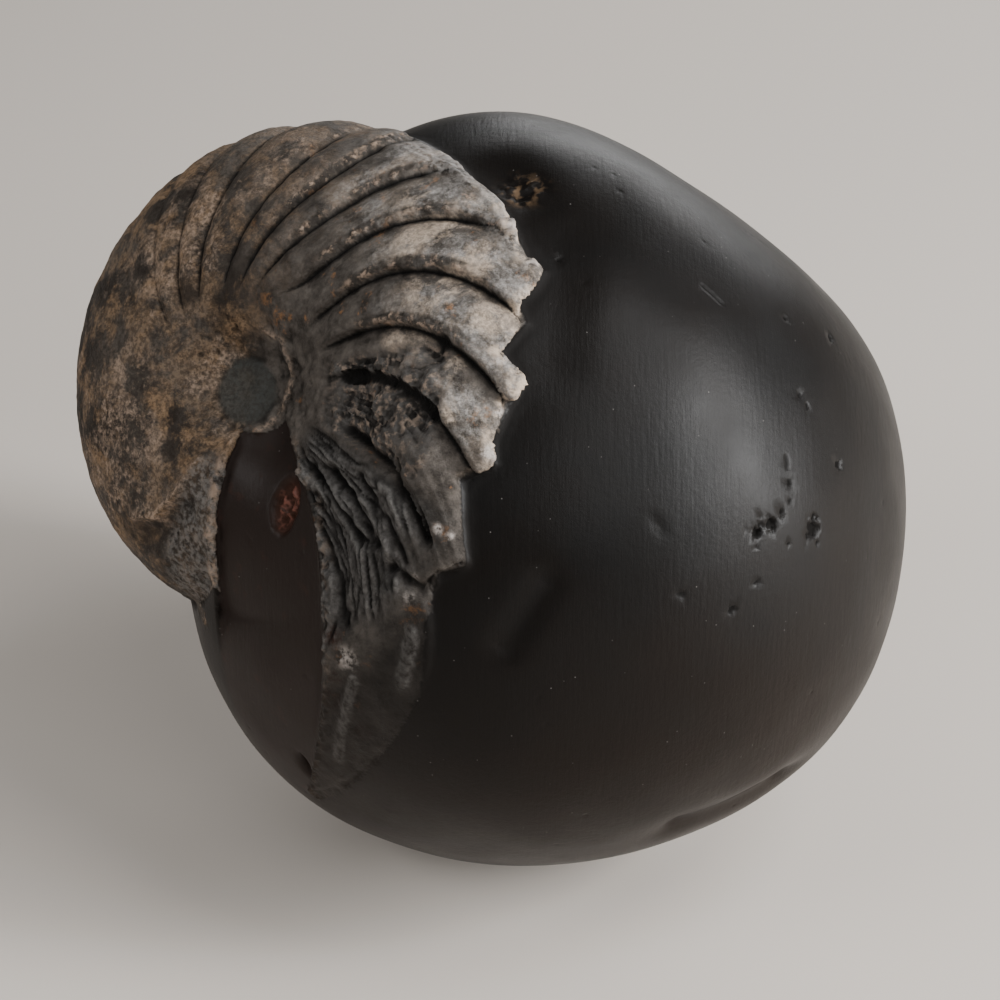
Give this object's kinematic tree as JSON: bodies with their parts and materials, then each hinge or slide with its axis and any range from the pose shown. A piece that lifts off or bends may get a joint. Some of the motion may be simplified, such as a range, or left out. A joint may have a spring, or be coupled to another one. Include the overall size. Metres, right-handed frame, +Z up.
{
  "type": "fossil ammonite",
  "caption": "Round black stone nodule with a ribbed spiral ammonite standing out of its upper side, resting on a small flat spot as a loose display specimen.",
  "frame": {"origin": "bottom centre of the bounding box, at the level of the small flat spot that the stone rests on", "axes": "+Z up as it rests, -Y towards the viewer of the picture, with the coil at the upper left (-X)"},
  "size_m": [0.1498, 0.132, 0.1395],
  "materials": {
    "fossil_stone": "smooth river-polished black stone with a soft sheen, brown and tan crust on the coil"
  },
  "bodies": {
    "root": {"ammonite_nodule": "fossil_stone"}
  },
  "joints": []
}
